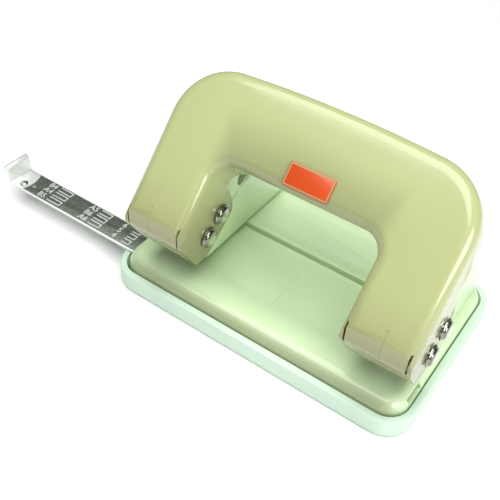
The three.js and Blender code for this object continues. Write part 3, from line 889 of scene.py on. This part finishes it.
base = without(base_form(0), base_form(SHEET))
for x in SIDES.values():
    base = combined(base, paper_stop(x), "UNION")
    base = without(base, post(x, PUNCH_Y, DIE_HOLE, *THROUGH_TABLE))
    base = without(base, *[post(x, y, RIVET_HOLE, *THROUGH_PLATEAU, 24) for y in RIVETS_Y.values()])
for notch in NOTCHES:
    low = (notch["low_x"], STRIP_Y - notch["half_y"], notch["low"])
    base = without(base, box(low, (notch["high_x"], STRIP_Y + notch["half_y"], notch["high"])))
scored = [Vector(CENTRE_MARK[end]) * MM for end in ("front", "back")]
base = without(base, swept_wire(scored, CENTRE_MARK["radius"] * MM))
print("base faces", len(base.faces), "volume in cubic mm", round(base.calc_volume() / MM ** 3))
finish_piece("pressed_base", softened(base, 0.18 * MM), "base_paint", "base_plate")

# %% [markdown]
# ## Chip tray
# The tray is moulded in soft plastic. Its rim hugs the base, its lower edge is rounded, and its
# floor has a shallow panel underneath, as such mouldings have so that they stand level.

# %% Chip tray
TRAY = {
    "left": -61, "right": 54.2, "half_y": 36.5, "corner": 10, "wall": 2.3, "floor": 1.3, "top": 8,
    "foot_edge": 1.7, "rim_edge": 0.5,
}
PANEL = {"inset": 9, "deep": 0.35, "corner": 4}
NEAR = 0.1


def tray_block(inset, low, top, corner):
    """A block with the tray's outline, or a smaller one set in from it."""
    left, right, half_y = TRAY["left"] + inset, TRAY["right"] - inset, TRAY["half_y"] - inset
    corners = rectangle(left, right, -half_y, half_y, corner)
    up = Vector((0, 0, top - low)) * MM
    return raise_solid(corners, lambda x, y: Vector((x, y, low)) * MM, up, segments=12)


def tray_outside():
    """The tray's outside, with its foot and its rim rounded."""
    build = tray_block(0, 0, TRAY["top"], TRAY["corner"])
    foot = [e for e in build.edges if all(v.co.z < NEAR * MM for v in e.verts)]
    round_edges(build, foot, TRAY["foot_edge"] * MM, segments=6)
    rim = [e for e in build.edges if all(v.co.z > (TRAY["top"] - NEAR) * MM for v in e.verts)]
    round_edges(build, rim, TRAY["rim_edge"] * MM, segments=3)
    return build


hollow = tray_block(TRAY["wall"], TRAY["floor"], TRAY["top"] + 4, TRAY["corner"] - TRAY["wall"])
panel = tray_block(PANEL["inset"], -1, PANEL["deep"], PANEL["corner"])
tray = without(tray_outside(), hollow, panel)
finish_piece("moulded_tray", softened(tray, 0.25 * MM, sharper_than=50), "tray_plastic", "chip_tray")

# %% [markdown]
# ## Brackets
# Each bracket is a channel folded from sheet. Its cheeks are cut to their side view, the web
# stops short of both ends, and the drive pin swings in an arc slot about the pivot.

# %% Brackets
CHEEK = {"outer": 8.9, "low": 14.7, "fold_r": 1.6, "top": 50}
WEB = {"front": -18.2, "rear": 28}
CHEEK_SIDE = [
    (-19.3, 14.7, 3), (29.5, 14.7, 0), (29.5, 17, 0), (10, 38.4, 9), (1, 43.8, 12), (-8, 44.4, 10),
    (-21.5, 39.5, 10), (-27.4, 29.5, 4.4), (-22.6, 24.6, 3), (-19.8, 18.6, 3),
]
HOLE = {"y": 1.2, "z": 38.3, "radius": 3.6}
TRAVEL = math.radians(32)
SLOT = {"radius": 1.9, "steps": 6}
PUNCH_HOLE = 3.1
CHANNEL = {"front": -30, "back": 32}
THROUGH_WEB = (13, 17)
THROUGH_BRACKET = 24


def drive_slot(x):
    """The path of the drive pin about the pivot, as wide as the pin and its play."""
    arm = Vector(DRIVE) - Vector(PIVOT)
    start = math.atan2(arm.y, arm.x)
    build = None
    for step in range(SLOT["steps"] + 1):
        angle = start - TRAVEL * step / SLOT["steps"]
        y, z = PIVOT[0] + arm.length * math.cos(angle), PIVOT[1] + arm.length * math.sin(angle)
        hole = bar(x, y, z, SLOT["radius"], THROUGH_BRACKET, 32)
        build = combined(build, hole, "UNION") if build else hole
    return build


DENTS = [
    [(-6.2, 33.6, 0), (-4.6, 31.6, 0.3), (-1.8, 34.2, 0)],
    [(-8.4, 27.8, 0), (-7.8, 27.2, 0), (-6.6, 28.6, 0), (-7.2, 29.2, 0)],
]
DENT_DEEP = 0.6


def channel(x):
    """Two cheeks and the web between them, folded from one sheet."""
    outer = CHEEK["outer"]
    path = bent_path([
        (-outer, CHEEK["top"], 0), (-outer, CHEEK["low"], CHEEK["fold_r"]),
        (outer, CHEEK["low"], CHEEK["fold_r"]), (outer, CHEEK["top"], 0),
    ])
    front, back = CHANNEL["front"], CHANNEL["back"]
    return folded_sheet(
        path, lambda p: Vector((x + p.x, front, p.y)) * MM,
        Vector((0, back - front, 0)) * MM, SHEET * MM, Vector((0, 0, -1)),
    )


def bracket(x):
    """The channel cut to its side view, with its holes, its slot and the small dents in its cheek."""
    half = THROUGH_BRACKET / 2
    build = combined(channel(x), side_solid(CHEEK_SIDE, x - half, x + half, segments=12), "INTERSECT")
    outer, inner = CHEEK["outer"], CHEEK["outer"] - SHEET
    low, high = THROUGH_WEB
    return without(
        build,
        box((x - inner, CHANNEL["front"] - 1, low), (x + inner, WEB["front"], high)),
        box((x - inner, WEB["rear"], low), (x + inner, CHANNEL["back"] + 1, high)),
        bar(x, *PIVOT, PIN_HOLE, THROUGH_BRACKET),
        bar(x, HOLE["y"], HOLE["z"], HOLE["radius"], THROUGH_BRACKET),
        drive_slot(x),
        post(x, PUNCH_Y, PUNCH_HOLE, low - 1, high + 1),
        *[post(x, y, RIVET_HOLE, low - 1, high + 1) for y in RIVETS_Y.values()],
        *[side_solid(dent, x + outer - DENT_DEEP, x + outer + 1) for dent in DENTS],
    )


def inside_channel(x):
    """Whether a face belongs to the inner side of a bracket's channel."""
    middle, reach = x * MM, (CHEEK["outer"] - SHEET + NEAR) * MM
    floor_z = (CHEEK["low"] + 0.8 * SHEET) * MM

    def shaded(face):
        at = face.calc_center_median()
        return abs(at.x - middle) < reach and at.z > floor_z

    return shaded


# The inner faces of each bracket's channel are marked for painted shade.
for side, x in SIDES.items():
    build = with_painted_shade(softened(bracket(x), 0.16 * MM), inside_channel(x))
    finish_piece(f"{side}_folded_bracket", build, "base_paint", f"{side}_bracket")

# %% [markdown]
# ## Pins, rivets, dies and punches
# Everything round is turned: a profile spun about an axis. The pins are riveted over at both
# ends, so their heads are low domes with a turned rim.

# %% Pins and rivets
PIN = {"radius": 1.5, "head": 3.7, "dome": 2.0, "rim": 0.7, "seat": LEG_HALF + 0.3}
RIVET = {"low": 12, "radius": 2.6, "neck": 1.4, "gap": 0.3, "web": 14.7, "rim": 0.15, "dome": 0.75}


def dome_curve(radius, rim, height, degrees):
    """Points of a low dome's side: out at its rim and in towards its top."""
    turns = [math.radians(at) for at in degrees]
    return [(radius * math.cos(turn), rim + height * math.sin(turn)) for turn in turns]


def pin_profile():
    """Half of a pin with a turned rim and a dome, and the same mirrored at its other end."""
    seat, head, rim = PIN["seat"], PIN["head"], PIN["rim"]
    dome = dome_curve(head * 0.86, seat + rim, PIN["dome"] - rim, (0, 12, 24, 36, 48, 60, 72, 82))
    half = [
        (PIN["radius"], seat), (head - 0.15, seat), (head, seat + 0.15), (head, seat + 0.55),
        (head - 0.12, seat + 0.72), (head * 0.9, seat + 0.6), *dome, (0, seat + PIN["dome"]),
    ]
    return [(r, -h) for r, h in reversed(half)] + half


def rivet_profile():
    """A rivet with a flat foot under the plateau and a domed head on the bracket's web."""
    r = RIVET
    upper, lower = r["web"] + SHEET + r["gap"], PLATEAU["top"] - SHEET - r["gap"]
    dome = dome_curve(r["radius"], upper + r["rim"], r["dome"], (0, 25, 50, 72))
    foot = [(0, r["low"]), (r["radius"] - 0.1, r["low"]), (r["radius"], r["low"] + 0.1), (r["radius"], lower)]
    neck = [(r["neck"], lower), (r["neck"], upper), (r["radius"], upper)]
    return foot + neck + dome + [(0, upper + r["rim"] + r["dome"])]


for side, x in SIDES.items():
    for name, (y, z) in {"pivot": PIVOT, "drive": DRIVE}.items():
        lay = carried_to(x, y, z) @ Matrix.Rotation(math.pi / 2, 4, "Y")
        build = moved(with_reach(turned(pin_profile(), 48), PIN["head"]), lay)
        finish_piece(f"{side}_{name}_pin_turned", build, "bright_chrome", f"{side}_{name}_pin")
    for end, y in RIVETS_Y.items():
        build = moved(turned(rivet_profile(), 36), carried_to(x, y))
        finish_piece(f"{side}_{end}_rivet_turned", build, "zinc_steel", f"{side}_bracket_rivet_{end}")

# %% Dies, punches and washers
BORE = 3.1
DIE = [
    (BORE, 10.9), (4.8, 10.9), (5, 11.1), (5, 11.8), (4.75, 12.1), (4.6, 12.2),
    (BORE + 0.08, 12.2), (BORE, 12.1), (BORE, 10.9),
]
PUNCH = {
    "tip": 14.9, "head": 30, "top": 37.8, "half_x": 5, "half_y": 4.6, "edge": 0.5,
    "slot_y": 2.7, "slot_z": 1.9, "slot_edge": 0.6, "radius": 3,
}
WASHER = [(3.3, 16.2), (6.1, 16.2), (6.2, 16.3), (6.2, 16.7), (6.1, 16.8), (3.3, 16.8), (3.3, 16.2)]


def punch(x):
    """A round rod with a hollow tip, and a square head with the drive pin's slot through it."""
    p = PUNCH
    tip, radius, rod_top = p["tip"], p["radius"], p["head"] + 1
    hollow_tip = [(0, tip + 1.2), (1.6, tip + 0.8), (2.7, tip)]
    rod = turned([*hollow_tip, (radius, tip), (radius, rod_top), (0, rod_top)])
    head = box((-p["half_x"], -p["half_y"], p["head"]), (p["half_x"], p["half_y"], p["top"]))
    build = combined(rod, softened(head, p["edge"] * MM, segments=3), "UNION")
    low, high = DRIVE[1] - p["slot_z"], DRIVE[1] + p["slot_z"]
    slot = box((-9, -p["slot_y"], low), (9, p["slot_y"], high))
    return moved(without(build, softened(slot, p["slot_edge"] * MM, segments=3)), carried_to(x, PUNCH_Y))


for side, x in SIDES.items():
    stand = carried_to(x, PUNCH_Y)
    finish_piece(f"{side}_die_ring", moved(turned(DIE, 64), stand), "tool_steel", f"{side}_die")
    finish_piece(f"{side}_punch_ground", softened(punch(x), 0.1 * MM), "tool_steel", f"{side}_punch")
    washer = moved(turned(WASHER, 48), stand)
    finish_piece(f"{side}_washer_ring", washer, "zinc_steel", f"{side}_spring_washer")

# %% [markdown]
# ## Return springs
# A coil is one circle carried round an axis while it climbs. The operator that spins a profile
# can also shift it at each step, so the climb is only a direction. A real coil flattens towards its
# lower end while the punch goes down; this one is built at one even pitch.

# %% Return springs
SPRING = {"radius": 4.5, "wire": 0.55, "coils": 6, "steps": 24, "low": 17.65, "high": 29.15}


def coil_spring(x):
    """The wire's round section, spun about the punch while it climbs."""
    s = SPRING
    steps = s["coils"] * s["steps"]
    build = bmesh.new()
    upright = carried_to(s["radius"], 0, s["low"]) @ Matrix.Rotation(math.pi / 2, 4, "X")
    bmesh.ops.create_circle(build, cap_ends=False, segments=12, radius=s["wire"] * MM, matrix=upright)
    climb = Vector((0, 0, (s["high"] - s["low"]) * MM / steps))
    bmesh.ops.spin(
        build, geom=build.verts[:] + build.edges[:], cent=(0, 0, 0), axis=(0, 0, 1), dvec=climb,
        angle=2 * math.pi * s["coils"], steps=steps, use_duplicate=False,
    )
    bmesh.ops.holes_fill(build, edges=build.edges[:], sides=0)
    bmesh.ops.recalc_face_normals(build, faces=build.faces[:])
    return moved(build, carried_to(x, PUNCH_Y))


for side, x in SIDES.items():
    spring = coil_spring(x)
    coil = finish_piece(f"{side}_coil", spring, "spring_steel", f"{side}_return_spring", smooth_below=60)
    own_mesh(coil)

# %% [markdown]
# ## Paper gauge
# The gauge is a springy steel strip. Its outer end is turned up and its lip folded over, so that
# a finger can pull it. Its top is printed dark with the marks for the paper sizes.

# %% Gauge strip
STRIP = {"hook": -120.5, "inner": -16, "half_y": 5.3, "low": 8.4, "thick": 0.8}
HOOK = {"height": 7.6, "lip": 1.7, "drop": 1.4, "r": 0.9, "top_r": 1.2, "lip_r": 0.85}
END_RIVET_AT = (-115.4, -24.6)
END_RIVET_HOLE = {"radius": 0.9, "low": 7, "high": 11, "segments": 24}
DIMPLE = {"x": -110.4, "y": -24.0, "radius": 1.9, "deep": 0.62}


def strip_build():
    """The strip's underside runs along the path; the sheet grows to its other side."""
    s, h = STRIP, HOOK
    upper, top = s["low"] + s["thick"], s["low"] + h["height"]
    inner_x, lip_x = s["hook"] + s["thick"], s["hook"] - h["lip"]
    path = bent_path([
        (s["inner"], upper, 0), (inner_x, upper, h["r"]), (inner_x, top, h["top_r"]),
        (lip_x, top, h["lip_r"]), (lip_x, top - h["drop"], 0),
    ])
    build = folded_sheet(
        path, lambda p: Vector((p.x, STRIP_Y - s["half_y"], p.y)) * MM,
        Vector((0, 2 * s["half_y"], 0)) * MM, s["thick"] * MM, Vector((0, 0, 1)),
    )
    dimple = bmesh.new()
    bmesh.ops.create_uvsphere(dimple, u_segments=32, v_segments=16, radius=DIMPLE["radius"] * MM)
    place = carried_to(DIMPLE["x"], DIMPLE["y"], upper + DIMPLE["radius"] - DIMPLE["deep"])
    return without(build, moved(dimple, place), post(*END_RIVET_AT, **END_RIVET_HOLE))


MARKS = {
    "top": 9.25, "half_thick": 0.03, "size": 3.4, "rows": (-19.9, -23.0, -26.2), "stroke": 0.5, "bold": 0.06,
    "bracket_after": 5.0, "bracket_high": 1.9,
}
GROUPS = [
    (-107.0, ("B4", "A4", "B5"), 6.0),
    (-86.0, ("A5", "B6", "A6"), 5.0),
    (-69.5, ("6", "5", "4"), 3.0),
]


def printed_text(words, size):
    """Plain letters as a thin flat solid, drawn along X, with their foot on the X axis."""
    curve = bpy.data.curves.new("words", "FONT")
    curve.body = words
    curve.size = size * MM
    curve.extrude = MARKS["half_thick"] * MM
    curve.offset = MARKS["bold"] * MM
    made = bpy.data.objects.new("words", curve)
    bpy.context.scene.collection.objects.link(made)
    build = through_modifiers(made)
    bpy.data.curves.remove(curve)
    return build


def size_mark(start, row, word, long):
    """One paper size and, after it, a bracket of three thin lines."""
    m = MARKS
    near, far = start + m["bracket_after"], start + m["bracket_after"] + long
    low, high, rise = m["top"] - m["half_thick"], m["top"] + m["half_thick"], m["bracket_high"]
    text = moved(printed_text(word, m["size"]), carried_to(start, row, m["top"]))
    lines = [box((near, y, low), (far, y + m["stroke"], high)) for y in (row, row + rise)]
    return [text, *lines, box((far, row, low), (far + m["stroke"], row + rise + m["stroke"], high))]


def gauge_marks():
    """Three groups of paper sizes on the strip."""
    build = bmesh.new()
    for start, words, long in GROUPS:
        for row, word in zip(MARKS["rows"], words):
            for part in size_mark(start, row, word, long):
                mesh = bpy.data.meshes.new("mark")
                part.to_mesh(mesh)
                part.free()
                build.from_mesh(mesh)
                bpy.data.meshes.remove(mesh)
    return build


finish_piece("gauge_marks", gauge_marks(), "strip_steel", "gauge_strip", stands_for=False)
finish_piece("gauge_strip_folded", softened(strip_build(), 0.1 * MM), "strip_steel", "gauge_strip")

# %% End rivet, guides and leaf spring
rivet_seat = STRIP["low"] + STRIP["thick"] + 0.1
END_RIVET = [
    (0, 8.4), (0.8, 8.4), (0.8, rivet_seat), (1.5, rivet_seat), (1.5, rivet_seat + 0.12),
    (1.3, rivet_seat + 0.34), (0.8, rivet_seat + 0.47), (0, rivet_seat + 0.5),
]
rivet = moved(with_reach(turned(END_RIVET, 36), 2.2), carried_to(*END_RIVET_AT))
finish_piece("end_rivet_turned", rivet, "bright_chrome", "gauge_end_rivet")
GUIDE = {"half_x": 2, "half_y": 6.7, "low": 7.5, "high": 10.7, "edge": 0.55}
WINDOW = {"half_x": 4, "half_y": 5.6, "low": 8.1, "high": 9.9}
GUIDES_X = {"left_gauge_guide": -48, "right_gauge_guide": -30}


def around_strip(x, size):
    """A block about the strip at x."""
    low = (x - size["half_x"], STRIP_Y - size["half_y"], size["low"])
    return box(low, (x + size["half_x"], STRIP_Y + size["half_y"], size["high"]))


for name, x in GUIDES_X.items():
    loop = around_strip(x, GUIDE)
    along = [e for e in loop.edges if abs((e.verts[0].co - e.verts[1].co).x) > NEAR * MM]
    round_edges(loop, along, GUIDE["edge"] * MM, segments=4)
    loop = without(loop, around_strip(x, WINDOW))
    finish_piece(f"{name}_loop", softened(loop, 0.1 * MM), "zinc_steel", name)
LEAF = {"left": -45.4, "right": -32.6, "half_y": 2, "thick": 0.3, "foot": 10.3, "bow": 0.6}


def leaf_path(steps=16):
    """A shallow bow that hangs between the guides and presses on the strip."""
    span, ends = LEAF["right"] - LEAF["left"], LEAF["foot"] + LEAF["thick"]
    shares = [step / steps for step in range(steps + 1)]
    return [Vector((LEAF["left"] + span * t, ends - 4 * LEAF["bow"] * t * (1 - t))) for t in shares]


leaf = folded_sheet(
    leaf_path(), lambda p: Vector((p.x, STRIP_Y - LEAF["half_y"], p.y)) * MM,
    Vector((0, 2 * LEAF["half_y"], 0)) * MM, LEAF["thick"] * MM, Vector((0, 0, 1)),
)
finish_piece("leaf_bowed", leaf, "spring_steel", "gauge_leaf_spring")
